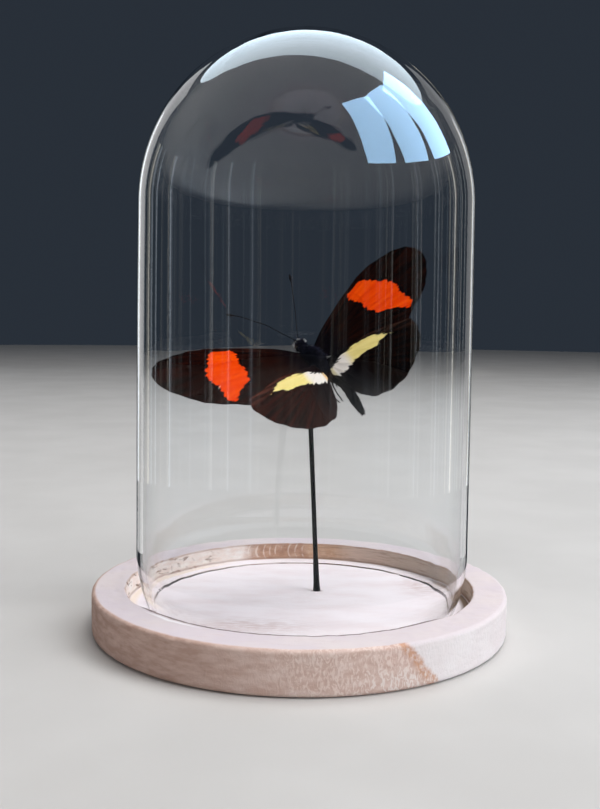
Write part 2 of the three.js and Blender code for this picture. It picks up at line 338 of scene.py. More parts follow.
class Shape:
    """One piece, gathered from closed parts. place puts a part's points in the shared frame."""

    def __init__(self, place=np.asarray):
        self.place = place
        self.points, self.faces, self.slots, self.fields = [], [], [], {}
        self.count = 0

    def add(self, points, faces, slot=0, **values):
        points = self.place(points)
        step = 1 if volume(points, faces) >= 0 else -1
        self.faces += [[self.count + int(i) for i in face][::step] for face in faces]
        self.slots += [slot] * len(faces)
        self.points.append(points)
        self.count += len(points)
        for name, value in values.items():
            value = np.asarray(value, float)
            whole = np.broadcast_to(value, (len(points),) + value.shape[1:])
            self.fields.setdefault(name, []).append(whole)

    def make(self, name, materials, node):
        """The piece itself. It rides on the body and replaces a CAD node."""
        fields = {field: np.concatenate(kept) for field, kept in self.fields.items()}
        piece = mesh_object(name, np.vstack(self.points), self.faces, materials, fields)
        piece.data.polygons.foreach_set("material_index", self.slots)
        piece.data.polygons.foreach_set("use_smooth", [True] * len(self.faces))
        piece.data.update()
        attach(piece, "root")
        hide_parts(node)


def grid_faces(rows, columns, wrap=True):
    """Quads between rows of points, each row closed on itself where wrap is set."""
    row, column = np.meshgrid(np.arange(rows - 1), np.arange(columns if wrap else columns - 1), indexing="ij")
    after = (column + 1) % columns
    quads = np.stack([row * columns + column, row * columns + after,
                      (row + 1) * columns + after, (row + 1) * columns + column], axis=-1)
    return quads.reshape(-1, 4).tolist()


def skin_faces(rows, columns):
    """The faces of a closed skin of rings, with a cap on the first and the last."""
    last = (rows - 1) * columns
    caps = [list(range(columns))[::-1], list(range(last, last + columns))]
    return grid_faces(rows, columns) + caps


def lathe(profile, segments, change=None):
    """A profile of (radius, height) turned about +Z. change(radius, height, angle) gives both anew."""
    profile = np.asarray(profile, float)
    radius, height = np.repeat(profile, segments, axis=0).T
    angle = np.tile(np.arange(segments) * TURN / segments, len(profile))
    if change:
        radius, height = change(radius, height, angle)
    points = np.column_stack([radius * np.sin(angle), -radius * np.cos(angle), height])
    return points, skin_faces(len(profile), segments)


def frames_along(path):
    """Two unit normals at each point of a path, carried along without twisting."""
    along = normed(np.gradient(path, axis=0))
    normals = [normed(np.cross(along[0], (0.3, 0.2, 0.93)))]
    for way in along[1:]:
        normals.append(normed(normals[-1] - way * (normals[-1] @ way)))
    normals = np.array(normals)
    return normals, np.cross(along, normals)


def tube(path, radii, sides):
    """A closed round tube along a path."""
    path = np.asarray(path, float)
    radii = np.broadcast_to(radii, (len(path),))
    one, two = frames_along(path)
    angle = np.arange(sides) * TURN / sides
    ring = np.cos(angle)[None, :, None] * one[:, None] + np.sin(angle)[None, :, None] * two[:, None]
    points = (path[:, None] + ring * radii[:, None, None]).reshape(-1, 3)
    return points, skin_faces(len(path), sides)


def hairs(roots, ways, lengths, radius, seed, droop):
    """Three-sided tapering hairs from roots along ways, each bent at random."""
    draw = np.random.default_rng(seed)
    count = len(roots)
    ways = normed(ways)
    lengths = np.broadcast_to(lengths, (count,))[:, None]
    aside = normed(np.cross(ways, draw.normal(size=(count, 3))))
    across = np.cross(ways, aside)
    sway = draw.normal(0, droop, (count, 3))
    middle = roots + (ways + 0.25 * sway) * lengths * 0.5
    points = []
    for spot, share in ((roots - ways * 0.05, 1.0), (middle, 0.8)):
        for angle in (0, TURN / 3, 2 * TURN / 3):
            points.append(spot + (aside * math.cos(angle) + across * math.sin(angle)) * radius * share)
    points.append(roots + (ways + 0.6 * sway) * lengths)
    points = np.stack(points, axis=1).reshape(-1, 3)
    pattern = [(0, 1, 4, 3), (1, 2, 5, 4), (2, 0, 3, 5), (3, 4, 6), (4, 5, 6), (5, 3, 6), (2, 1, 0)]
    faces = [[7 * i + k for k in face] for i in range(count) for face in pattern]
    return points, faces


def ball(centre, size, rows, columns):
    """An ellipsoid with its poles along Y: its points, their directions, and its faces."""
    latitude = np.linspace(0.02, math.pi - 0.02, rows)
    longitude = np.arange(columns) * TURN / columns
    lat, lon = (angles.ravel() for angles in np.meshgrid(latitude, longitude, indexing="ij"))
    unit = np.column_stack([np.sin(lat) * np.cos(lon), np.cos(lat), np.sin(lat) * np.sin(lon)])
    return unit * size + centre, unit, skin_faces(rows, columns)


# ---------------------------------------------------------------- material building


class Value:
    """A number, vector, colour or shader in a material. Numbers can be added, subtracted and multiplied."""

    def __init__(self, surface, socket):
        self.surface, self.socket = surface, socket

    def __add__(self, other):
        return self.surface.math("ADD", self, other)

    def __sub__(self, other):
        return self.surface.math("SUBTRACT", self, other)

    def __rsub__(self, other):
        return self.surface.math("SUBTRACT", other, self)

    def __mul__(self, other):
        return self.surface.math("MULTIPLY", self, other)


def linear(colour):
    """A colour as nodes want it."""
    return tuple((v / 255) ** 2.2 for v in colour) + (1.0,) if len(colour) == 3 else colour


class Surface:
    """A node material, built a node at a time."""

    def __init__(self, name):
        self.material = bpy.data.materials.new(name)
        self.material.use_nodes = True
        self.tree = self.material.node_tree
        self.tree.nodes.clear()
        self.mm = self.stretch(self.value("ShaderNodeTexCoord", "Object"), [1 / SCALE] * 3)

    def put(self, socket, value):
        if isinstance(value, Value):
            self.tree.links.new(value.socket, socket)
        else:
            socket.default_value = linear(value) if socket.type == "RGBA" else value

    def node(self, kind, settings=None, **inputs):
        """A new node, with its settings, and its inputs by name."""
        made = self.tree.nodes.new(kind)
        for key, value in (settings or {}).items():
            setattr(made, key, value)
        for key, value in inputs.items():
            self.put(made.inputs[key.replace("_", " ")], value)
        return made

    def value(self, kind, output, settings=None, **inputs):
        """One output of a new node."""
        return Value(self, self.node(kind, settings, **inputs).outputs[output])

    def math(self, operation, *terms):
        made = self.node("ShaderNodeMath", {"operation": operation})
        for socket, term in zip(made.inputs, terms):
            self.put(socket, term)
        return Value(self, made.outputs[0])

    def field(self, name, output="Fac"):
        return self.value("ShaderNodeAttribute", output, {"attribute_name": name})

    def stretch(self, coords, factors, degrees=(0, 0, 0)):
        radians = [math.radians(d) for d in degrees]
        return self.value("ShaderNodeMapping", 0, Vector=coords, Rotation=radians, Scale=factors)

    def noise(self, rate, detail=3.0, roughness=0.55, distortion=0.0, coords=None, degrees=(0, 0, 0)):
        """Noise from 0 to 1. rate is its features per millimetre: one number, or one along each axis."""
        coords = coords or self.mm
        if isinstance(rate, tuple):
            coords, rate = self.stretch(coords, rate, degrees), 1.0
        return self.value("ShaderNodeTexNoise", "Fac", Vector=coords, Scale=rate, Detail=detail,
                          Roughness=roughness, Distortion=distortion)

    def step(self, value, low, high):
        """0 below low and 1 above high, smoothly between."""
        return self.value("ShaderNodeMapRange", 0, {"interpolation_type": "SMOOTHSTEP"}, Value=value,
                          From_Min=low, From_Max=high)

    def level(self, value, low, high, at_low, at_high):
        """A straight line from at_low to at_high, and level beyond them."""
        return self.value("ShaderNodeMapRange", 0, Value=value, From_Min=low, From_Max=high,
                          To_Min=at_low, To_Max=at_high)

    def mix(self, share, a, b):
        made = self.node("ShaderNodeMix", {"data_type": "RGBA"})
        for index, value in ((0, share), (6, a), (7, b)):
            self.put(made.inputs[index], value)
        return Value(self, made.outputs[2])

    def ramp(self, value, *stops):
        made = self.node("ShaderNodeValToRGB", Fac=value)
        ends = made.color_ramp.elements
        while len(ends) < len(stops):
            ends.new(0.5)
        for end, (place, colour) in zip(ends, stops):
            end.position, end.color = place, linear(colour)
        return Value(self, made.outputs["Color"])

    def bump(self, height, distance, strength):
        return self.value("ShaderNodeBump", 0, Height=height, Strength=strength, Distance=distance * SCALE)

    def shader(self, **inputs):
        return self.value("ShaderNodeBsdfPrincipled", 0, **inputs)

    def done(self, shader):
        self.node("ShaderNodeOutputMaterial", Surface=shader)
        return self.material


def wood_top(s, cloud, grain):
    """The rim's upper face: smooth whitewash."""
    white = s.mix(s.step(cloud, 0.35, 0.7), (217, 206, 212), (224, 213, 213))
    return s.mix(s.step(grain, 0.5, 0.8) * 0.35, white, (212, 194, 190))


def wood_side(s, cloud, flecks, angle, height):
    """The outer side: darker taupe at the left as painted shade, flecked in front, thick and white at the
    right.
    """
    soft = s.step(s.noise((0.21, 0.21, 0.78), 4, 0.6), 0.3, 0.72)
    # painted shade: the left of the side is given a darker taupe where it lies in shade
    shaded_left = s.mix(soft, (191, 158, 144), (215, 187, 175))
    front = s.mix(soft, (211, 179, 166), (228, 204, 194))
    colour = s.mix(s.step(angle, -34, -2), shaded_left, front)
    wander = s.noise(0.35, 4, 0.65) - 0.5
    edge = angle + height * 0.93 + wander * 5.0
    blush = s.step(edge, 23.0, 32.0) * s.step(height, 2.0, 8.0)
    colour = s.mix(blush * 0.55, colour, (213, 177, 165))
    low = (1.0 - s.step(height, 2.0, 7.5)) * s.step(angle, 6, 24)
    fleck_share = s.step(flecks, 0.47, 0.6) * s.step(angle, -14, 4)
    colour = s.mix(fleck_share * 0.6, colour, s.mix(low, (244, 226, 217), (252, 246, 242)))
    streak = 1.0 - s.step(s.math("ABSOLUTE", edge - 34.0), 0.3, 2.2)
    streak = streak * s.step(s.noise(1.2, 3, 0.6), 0.36, 0.6)
    colour = s.mix(streak * 0.75, colour, (206, 150, 116))
    thick = s.mix(s.step(cloud, 0.35, 0.7), (246, 240, 240), (238, 228, 228))
    # painted shade: the white is darkened along the rounded top corner, damping the highlight the key lamp
    # puts there
    thick = s.mix(s.step(height, 9.0, 9.7), thick, (222, 212, 215))
    behind = s.step(s.field("behind") + wander * 0.8, 0.46, 0.56)
    return s.mix(s.math("MAXIMUM", s.step(edge, 35.0, 36.6), behind), colour, thick)


def wood_wall(s, across, height):
    """The recess wall: washed at the left, scraped nearly bare at the back, shaded brown at the right."""
    arc = s.math("POWER", height - 7.6, 2.0)
    ticks = s.math("SINE", (across - arc * 0.16) * (TURN / 1.9))
    ticks = s.step(ticks, 0.55, 0.95) * s.step(s.noise(0.5, 2, 0.5), 0.35, 0.6)
    colour = s.ramp(s.noise((0.3, 0.3, 0.9), 4, 0.6), (0.3, (172, 130, 108)), (0.55, (196, 156, 132)),
                    (0.8, (218, 188, 166)))
    colour = s.mix(ticks * 0.7, colour, (238, 222, 208))
    warm = s.mix(s.step(s.noise(0.7, 3, 0.6), 0.35, 0.7), (206, 166, 136), (218, 184, 158))
    across = across + (s.noise(0.45, 3, 0.7) - 0.5) * 5.0
    for start, end, paint in ((0.0, 3.4, warm), (9.0, 16.0, (218, 192, 174)), (17.0, 33.0, (204, 184, 166))):
        colour = s.mix(s.step(across, start, end), colour, paint)
    lines = s.step(s.noise((0.14, 0.14, 2.2), 4, 0.65), 0.48, 0.66) * s.step(across, -4.0, 6.0)
    colour = s.mix(lines * 0.45, colour, (134, 104, 84))
    # the whitewash at the left of the recess wall
    chalk = s.mix(s.step(s.noise((0.3, 0.3, 0.8), 4, 0.65), 0.3, 0.7), (244, 226, 216), (254, 248, 243))
    cuts = s.step(s.noise((0.25, 0.25, 0.8), 3, 0.7, 0.6), 0.56, 0.64) * (1.0 - s.step(across, -30.0, -20.0))
    chalk = s.mix(cuts * 0.85, chalk, (120, 92, 74))
    colour = s.mix(1.0 - s.step(across, -17.5, -11.5), colour, chalk)
    # painted shade: the wall is darkened along its foot, in the corner with the floor; it is darker along its
    # top edge too
    foot = 1.0 - s.step(height, FLOOR + 0.25, FLOOR + 0.75)
    edges = s.math("MAXIMUM", foot, s.step(height, 9.2, 9.6))
    return s.mix(edges * 0.5, colour, (142, 106, 88))


def wood_floor(s, angle):
    """The recess floor: clean whitewash, scuffed by the rod, with painted shade in the gap outside the glass
    at the right, and cream in that gap at the front.
    """
    colour = s.mix(s.step(s.noise((0.072, 0.18, 0.6), 4, 0.6), 0.35, 0.75), (248, 241, 245), (240, 229, 232))
    scratches = s.noise((0.4, 2.6, 1), 3, 0.6, degrees=(0, 0, -7))
    scuffs = s.field("scuffs")
    near = s.step(scratches, 0.55, 0.72) * (1.0 - s.step(scuffs, 2.0, 8.0))
    colour = s.mix(near * 0.5, colour, (150, 134, 128))
    # reddish-brown patches on the floor, one in front inside the lip and one at the right
    stain = s.field("stain") * s.step(scratches, 0.36, 0.62)
    colour = s.mix(stain * 0.5, colour, (190, 156, 150))
    grime = 1.0 - s.step(scuffs, 0.9, 2.0)
    colour = s.mix(grime * 0.6, colour, (112, 98, 94))
    # painted shade: the gap between the glass and the wall is darkened at the right, where it lies in shadow;
    # at the front the gap is cream
    gap = s.field("gap") * (1.0 - s.field("behind"))
    right = s.step(angle, 34, 46) * (1.0 - s.step(angle, 105, 125))
    colour = s.mix(gap * right, colour, (122, 104, 90))
    return s.mix(gap * (1.0 - s.step(angle, -70, -50)), colour, (240, 226, 214))


def wood_material():
    """Whitewash over light brown wood. The fields side, wall and floor say which face a point is on."""
    s = Surface("whitewashed_wood")
    side, angle, height = s.field("side"), s.field("angle"), s.field("height")
    cloud = s.noise(0.055, 4, 0.6)
    grain = s.noise((0.25, 0.7, 0.6), 4, 0.6, 0.3, degrees=(0, 0, 3))
    flecks = s.noise((1.05, 1.05, 0.52), 3, 0.55, 1.6, degrees=(10, 8, 0))
    speck = s.noise(3.2, 3, 0.7)
    colour = s.mix(side, wood_top(s, cloud, grain), wood_side(s, cloud, flecks, angle, height))
    colour = s.mix(s.field("wall"), colour, wood_wall(s, s.field("wallx"), height))
    colour = s.mix(s.field("floor"), colour, wood_floor(s, angle))
    colour = s.mix(s.step(speck, 0.66, 0.82) * 0.25, colour, (176, 150, 138))
    colour = s.mix(s.step(s.field("worn"), 0.4, 0.9) * 0.45, colour, (186, 152, 130))
    # painted highlight: a white band just outside the lip at the front left, where the lip's corner catches
    # the light
    colour = s.mix(s.step(s.field("chalk"), 0.2, 0.8) * 0.8, colour, (250, 248, 250))
    # painted shade: a broken dark line along the lip's inner edge at the front, standing in for the shadow in
    # the narrow gap between lip and glass
    lip_line = s.step(s.field("crack"), 0.25, 0.7) * s.step(speck, 0.2, 0.42)
    colour = s.mix(lip_line * 0.85, colour, (104, 84, 82))
    relief = grain * 0.25 + s.noise(1.6, 3, 0.6) * 0.25 + flecks * side * 0.8
    return s.done(s.shader(Base_Color=colour, Roughness=s.level(grain, 0.2, 0.8, 0.66, 0.84),
                           Normal=s.bump(relief, 0.2, 0.8), Specular_IOR_Level=0.02))


def glass_material():
    """Clear glass that lets light straight through to and from what it covers."""
    s = Surface("clear_glass")
    glass = s.shader(Base_Color=(0.985, 0.992, 0.994, 1), Roughness=0.0, IOR=1.46, Transmission_Weight=1.0)
    clear = s.value("ShaderNodeBsdfTransparent", 0, Color=(0.992, 0.994, 0.995, 1))
    path = s.node("ShaderNodeLightPath")
    for ray in ("Is Shadow Ray", "Is Diffuse Ray"):
        both = s.node("ShaderNodeMixShader", Fac=Value(s, path.outputs[ray]))
        s.put(both.inputs[1], glass)
        s.put(both.inputs[2], clear)
        glass = Value(s, both.outputs[0])
    return s.done(glass)


def rod_material():
    """Black lacquer, worn greyer towards the foot."""
    s = Surface("black_rod")
    worn = 1.0 - s.step(s.field("along"), 2.0, 16.0)
    patches = s.step(s.noise((2.0, 2.0, 0.35), 4, 0.65), 0.46, 0.66)
    return s.done(s.shader(Base_Color=s.mix(worn * patches, (5, 5, 6), (28, 30, 38)),
                           Roughness=s.level(patches, 0.0, 1.0, 0.42, 0.6),
                           Normal=s.bump(s.noise(5.0, 3, 0.6), 0.04, 0.5), Specular_IOR_Level=0.01))


def dark_scales(s, streaks, scales):
    """The ground colour: brown-black, and a lighter, redder brown on the wings that face the light, which is
    painted light.
    """
    lit = s.field("lit")
    # painted light: the lit field mixes in lighter, redder colours on the wings that face the light
    low = s.mix(lit, (8, 4, 3), (15, 5, 4))
    high = s.mix(lit, (28, 16, 11), (66, 26, 18))
    dark = s.mix(s.step(streaks, 0.34, 0.7), low, high)
    band = s.field("tint") * s.step(streaks, 0.28, 0.66)
    dark = s.mix(band * 0.75, dark, s.mix(lit, (66, 46, 38), (124, 68, 54)))
    dark = s.mix(s.step(scales, 0.5, 0.75) * 0.07, dark, (84, 56, 46))
    root = 1.0 - s.step(s.field("out"), 3.5, 9.5)
    dark = s.mix(root * 0.8, dark, (14, 13, 18))
    return s.mix(s.step(s.field("vein"), 0.2, 0.9) * 0.3, dark, (10, 7, 7))


def forewing_band(s, streaks, scales, reach):
    """The orange-red band."""
    mixed = streaks * 0.6 + scales * 0.4
    bright = s.ramp(mixed, (0.3, (208, 50, 6)), (0.5, (230, 68, 8)), (0.72, (242, 92, 18)))
    bright = s.mix(s.step(s.field("vein"), 0.45, 1.0) * 0.3, bright, (170, 40, 14))
    rim = 1.0 - s.step(reach, 0.05, 0.45)
    return s.mix(rim * 0.3, bright, (196, 46, 14))


def hindwing_bar(s, streaks, scales, ragged):
    """The pale yellow bar, white towards the body and buff at its very end."""
    out = s.field("out")
    inner = 1.0 - s.step(out + ragged * 1.6, 4.6, 7.4)
    end = 1.0 - s.step(out + ragged * 0.8, 0.4, 1.1)
    mixed = streaks * 0.5 + scales * 0.5
    bright = s.ramp(mixed, (0.3, (220, 196, 108)), (0.5, (236, 216, 134)), (0.72, (246, 232, 170)))
    bright = s.mix(inner, bright, (230, 222, 214))
    bright = s.mix(end, bright, s.mix(s.field("lit"), (238, 226, 184), (222, 160, 88)))
    return s.mix(s.step(s.field("vein"), 0.5, 1.0) * 0.14, bright, (196, 178, 112))


def wing_material(kind):
    """Dark scales with the wing's one bright marking. The field mark is the depth into it, in mm."""
    s = Surface(kind + "_scales")
    plan, polar = s.field("plan", "Vector"), s.field("polar", "Vector")
    streaks = s.noise((1.0, 0.06, 1), 4, 0.6, coords=polar)
    scales = s.noise((3.4, 6.5, 1), 2, 0.6, coords=plan)
    ragged = s.noise((0.9, 1.6, 1), 4, 0.7, coords=plan)
    teeth = s.noise((1.3 if kind == "forewing" else 0.6, 0.22, 1), 3, 0.6, coords=polar)
    reach = s.field("mark") + (teeth - 0.5) * 2.6 + (ragged - 0.5) * 0.9 + (scales - 0.5) * 0.4
    if kind == "forewing":
        bright = forewing_band(s, streaks, scales, reach)
    else:
        bright = hindwing_bar(s, streaks, scales, ragged)
    colour = s.mix(s.step(reach, -0.03, 0.08), dark_scales(s, streaks, scales), bright)
    nick = 1.0 - s.step(s.field("nick"), 0.04, 0.16)
    colour = s.mix(nick * 0.7, colour, (214, 208, 198))
    return s.done(s.shader(Base_Color=colour, Roughness=s.level(scales, 0.3, 0.7, 0.56, 0.72),
                           Normal=s.bump(scales * 0.8 + ragged * 0.6, 0.05, 0.6), Specular_IOR_Level=0.0))


def fur_material(name, dark, light, sheen=0.06, strands=0.4):
    """Fine hair: dark, lighter in places at random, with paler hairs here and there, and brown where the
    field says so.
    """
    s = Surface(name)
    strand = s.noise(9.0, 2, 0.6)
    colour = s.mix(s.step(s.noise(1.3, 4, 0.7), 0.35, 0.75), dark, light)
    colour = s.mix(s.step(strand, 0.55, 0.8) * strands, colour, (84, 84, 112))
    colour = s.mix(s.field("brown") * s.step(strand, 0.35, 0.6), colour, (92, 56, 42))
    return s.done(s.shader(Base_Color=colour, Roughness=0.62, Normal=s.bump(strand, 0.05, 0.6),
                           Sheen_Weight=sheen, Sheen_Roughness=0.45, Sheen_Tint=(0.7, 0.75, 0.95, 1),
                           Specular_IOR_Level=0.0))


def eye_material():
    """Faceted compound eye."""
    s = Surface("compound_eye")
    cells = s.value("ShaderNodeTexVoronoi", "Distance", Vector=s.mm, Scale=9.0)
    tone = s.mix(s.step(s.noise(0.9, 2), 0.35, 0.7), (26, 18, 16), (52, 34, 28))
    return s.done(s.shader(Base_Color=tone, Roughness=0.22, Normal=s.bump(cells, 0.05, 0.5)))


def chitin_material():
    """Dark legs and antennae, ringed very faintly."""
    s = Surface("dark_chitin")
    colour = s.ramp(s.noise(1.6, 3, 0.6), (0.3, (14, 11, 11)), (0.55, (28, 21, 20)), (0.8, (54, 40, 34)))
    fine = s.noise(12.0, 2, 0.6)
    return s.done(s.shader(Base_Color=colour, Roughness=s.level(fine, 0.3, 0.7, 0.4, 0.6),
                           Normal=s.bump(fine, 0.03, 0.6), Specular_IOR_Level=0.05))


# ---------------------------------------------------------------- base


def base_profile():
    """The base's section as (radius, height), from the underside's middle round to the recess's middle."""
    foot = [(POLE, 0.0), (30, 0.0), (47, 0.0)]
    foot += [(BASE_RADIUS - r, h) for r, h in ((1.2, 0.05), (0.55, 0.22), (0.2, 0.5))]
    side = [(BASE_RADIUS, h) for h in np.linspace(0.9, BASE_HEIGHT - 0.9, 27)]
    worn_edge = ((0.07, 0.55), (0.25, 0.28), (0.6, 0.08), (1.1, 0.0))
    corner = [(BASE_RADIUS - r, BASE_HEIGHT - h) for r, h in worn_edge]
    spread = [*np.linspace(BASE_RADIUS - 1.6, RECESS_RADIUS + 1.5, 13), RECESS_RADIUS + 1.25,
              RECESS_RADIUS + 1.0, RECESS_RADIUS + 0.8]
    top = [(r, BASE_HEIGHT) for r in spread]
    rolled_edge = ((0.6, 0.02), (0.4, 0.06), (0.2, 0.15), (0.06, 0.4), (0.0, 0.7))
    lip = [(RECESS_RADIUS + r, BASE_HEIGHT - h) for r, h in rolled_edge]
    wall = [(RECESS_RADIUS, h) for h in np.linspace(BASE_HEIGHT - 1, FLOOR + 0.3, 12)]
    wall += [(RECESS_RADIUS - 0.15, FLOOR + 0.08)]
    floor = [(r, FLOOR) for r in [*np.linspace(RECESS_RADIUS - 0.5, 1.2, 72), POLE]]
    return np.array(foot + side + corner + top + lip + wall + floor)


def front_share(turned_by):
    """1 where the recess's lip is drawn in at the front, by degrees round from the front, and 0 elsewhere."""
    facing = (turned_by + 180) % 360 - 180
    share = clamp((facing + 64) / 14) * clamp((56 - facing) / 16)
    return share * share * (3 - 2 * share)


def base_change(radius, height, angle):
    """Turning marks, rubbed corners, and the cutter's chatter on the recess wall."""
    where = np.column_stack([radius * np.sin(angle), -radius * np.cos(angle), height])
    turned_by = np.degrees(angle)
    outer = (radius > BASE_RADIUS - 1) & (height > 0.3)
    inner = (np.abs(radius - RECESS_RADIUS) < 0.5) & (height > FLOOR + 0.2)
    level = (radius < RECESS_RADIUS - 0.4) & (height < FLOOR + 0.05) & (height > 1)
    top = (radius > RECESS_RADIUS + 0.1) & (radius < BASE_RADIUS - 0.8) & (height > BASE_HEIGHT - 0.1)
    corner = clamp(1 - np.abs(height - BASE_HEIGHT) / 0.8)
    dents = clamp(rough(where * (1, 1, 1.4), 3.0, 5))
    rubbed = 0.05 * rough(where * (1, 1, 2.5), 1.1, 8) * outer - 0.22 * dents * corner * outer
    near_lip = clamp(1 - np.abs(radius - RECESS_RADIUS) / 6) * (height > FLOOR + 0.2)
    drawn_in = LIP_DRAWN_IN * front_share(turned_by) * near_lip
    back = clamp(1 - np.abs(turned_by - 186) / 17) ** 0.5
    left = clamp(1 - np.abs(turned_by - 235) / 40)
    ticks = np.maximum(0, np.sin(angle * RECESS_RADIUS * TURN / 1.75)) ** 3
    gouges = clamp(rough(where * (0.6, 0.6, 1.6), 1.6, 21))
    chatter = inner * (0.28 * ticks * back + 0.4 * gouges * left + 0.06 * rough(where, 0.9, 31))
    rings = 0.035 * np.sin(radius * TURN / 1.3 + 0.4 * rough(where, 9, 41)) * level
    uneven = 0.05 * rough(where, 14, 43) * level + 0.03 * rough(where * (1, 3, 1), 2.2, 47) * (level | top)
    return radius + rubbed - drawn_in + chatter, height + rings + uneven - 0.18 * dents * corner


def base_fields(points, radius, height, angle):
    """What the wood's material reads. angle is in degrees from the front, positive to the right."""
    x, y = points[:, 0], points[:, 1]
    floor = (radius <= RECESS_RADIUS - 0.3) & (height > 1) & (height < FLOOR + 0.3)
    below_top = height - BASE_HEIGHT + 0.2
    corner = clamp(1 - np.hypot(radius - BASE_RADIUS + 0.3, below_top) / 0.9)
    lip = clamp(1 - np.hypot(radius - RECESS_RADIUS - 0.2, below_top) / 0.8)
    front = front_share(angle) * (height > BASE_HEIGHT - 0.9)
    by_rod = np.hypot(x - ROD_FOOT[0], (y - ROD_FOOT[1] + 0.4) * 1.4)
    by_scratch = 3 + np.hypot(x - 22.0, (y + 11.0) * 2.5)
    front_patch = hump(x, -11, 13) * hump(y, -20, 5)
    right_stain = 1.3 * hump(x, 32, 5) * hump(y, 13, 9)
    return dict(
        side=(radius > BASE_RADIUS - 0.7) & (height < BASE_HEIGHT - 0.05),
        wall=(np.abs(radius - RECESS_RADIUS) < 0.3) & (height > FLOOR + 0.02),
        floor=floor,
        angle=angle,
        height=height,
        wallx=x,
        worn=np.maximum(corner * 0.25, lip) * (0.5 + 0.8 * rough(points, 2.6, 61)),
        gap=clamp((radius - GLASS_RADIUS + 0.3) / 0.9) * floor,
        behind=clamp((np.abs(angle) - 138) / 18),
        scuffs=np.where(floor, np.minimum(by_rod, by_scratch), 50.0),
        # painted shade line along the lip's inner edge at the front
        crack=front * clamp(1.5 - np.abs(radius - RECESS_RADIUS - 0.45) / 0.46),
        # painted highlight outside the lip at the front left
        chalk=front * hump(radius, RECESS_RADIUS + 1.6, 0.35) * hump(angle, -42, 14),
        stain=np.maximum(front_patch, right_stain) * floor,
    )


def make_base():
    segments = 384
    profile = base_profile()
    points, faces = lathe(profile, segments, base_change)
    radius, height = np.repeat(profile, segments, axis=0).T
    angle = np.tile(np.arange(segments) * 360 / segments, len(profile))
    shape = Shape()
    shape.add(points, faces, **base_fields(points, radius, height, (angle + 180) % 360 - 180))
    shape.make("base_wood", [wood_material()], "base")


# ---------------------------------------------------------------- dome and rod


def wall_radius(height):
    """The dome's outer radius at a height above its foot, below the shoulder."""
    flare = GLASS_FLARE * (1 - np.minimum(1, height / (GLASS_SHOULDER - FLOOR)))
    reach = np.maximum(0, 1 - height / GLASS_FOOT_HEIGHT)
    return GLASS_RADIUS + flare - GLASS_FOOT_INSET * reach ** 2


def skin_profile(offset):
    """One face of the dome's wall, from the foot to the crown."""
    low = np.concatenate([np.linspace(0.18, 5.5, 12), np.linspace(6, GLASS_FOOT_HEIGHT, 14),
                          np.linspace(16, GLASS_SHOULDER - FLOOR, 26)])
    skin = [(wall_radius(h) - offset, FLOOR + h) for h in low]
    for angle in np.linspace(0, math.pi / 2, 54)[1:]:
        radius = max((GLASS_RADIUS - offset) * math.cos(angle), 2 * POLE)
        skin.append((radius, GLASS_SHOULDER + (GLASS_TOP - GLASS_SHOULDER - offset) * math.sin(angle)))
    return skin


def glass_ripple(seed):
    """Blown glass is never quite true: slow swells, and faint drawn lines up the wall."""

    def change(radius, height, angle):
        where = np.column_stack([np.sin(angle) * GLASS_RADIUS, np.cos(angle) * GLASS_RADIUS, height])
        swell = noise(where, 26.0, seed)
        lines = rough(where * (1, 1, 0.03), 7.0, seed + 7)
        return radius + clamp(radius / 12) * (0.10 * swell + 0.03 * lines), height

    return change


def make_dome():
    segments = 300
    outer, _ = lathe(skin_profile(0)[::-1], segments, glass_ripple(101))
    inner, _ = lathe(skin_profile(GLASS_WALL), segments, glass_ripple(131))
    rim = wall_radius(0.1) - GLASS_WALL / 2
    lips = [(rim + out, FLOOR + up) for out, up in ((0.7, 0.08), (0.6, 0.02), (-0.6, 0.02), (-0.7, 0.08))]
    lip, _ = lathe(lips, segments)
    points = np.vstack([outer, lip, inner]) + (GLASS_SHIFT, 0, 0)
    shape = Shape()
    shape.add(points, skin_faces(len(points) // segments, segments))
    shape.make("glass_dome", [glass_material()], "dome")


def make_rod():
    way = ROD_TOP - ROD_FOOT
    length = np.linalg.norm(way) + ROD_PAST_TOP
    turned_to = np.array(Vector((0, 0, 1)).rotation_difference(Vector(way)).to_matrix())
    profile = [(POLE, -ROD_SUNK), (ROD_RADIUS, -ROD_SUNK), (ROD_RADIUS, -0.1), (0.9, -0.12), (0.98, 0.08),
               (0.97, 0.3), (0.9, 0.7), (0.8, 1.2), (0.72, 2.0), (0.69, 3.5), (0.67, 5.5), (0.63, 7.5)]
    profile += [(ROD_RADIUS * 0.98, h) for h in np.linspace(9.5, length - 1, 60)]
    profile += [(ROD_RADIUS * 0.9, length - 0.3), (0.3, length), (POLE, length)]

    def change(radius, height, angle):
        where = np.column_stack([np.sin(angle), np.cos(angle), height * 0.3])
        foot = clamp(1 - height / 1.6) * (height > -0.2)
        return radius * (1 + 0.03 * rough(where, 0.7, 71) + 0.16 * foot * noise(where, 0.9, 77)), height

    points, faces = lathe(profile, 32, change)
    shape = Shape()
    shape.add(points @ turned_to.T + ROD_FOOT, faces, along=points[:, 2])
    shape.make("rod_black", [rod_material()], "rod")


# ---------------------------------------------------------------- wings

EDGE_POINTS = {"forewing": 459, "hindwing": 329}
FRINGE_HAIRS = {"forewing": 1499, "hindwing": 1149}
SCALLOPS = {"forewing": 0.16, "hindwing": 0.26}
MESH_SPACING = 0.27
FAN_CENTRE = np.array([-3.0, -1.0])  # the streaks fan out from here


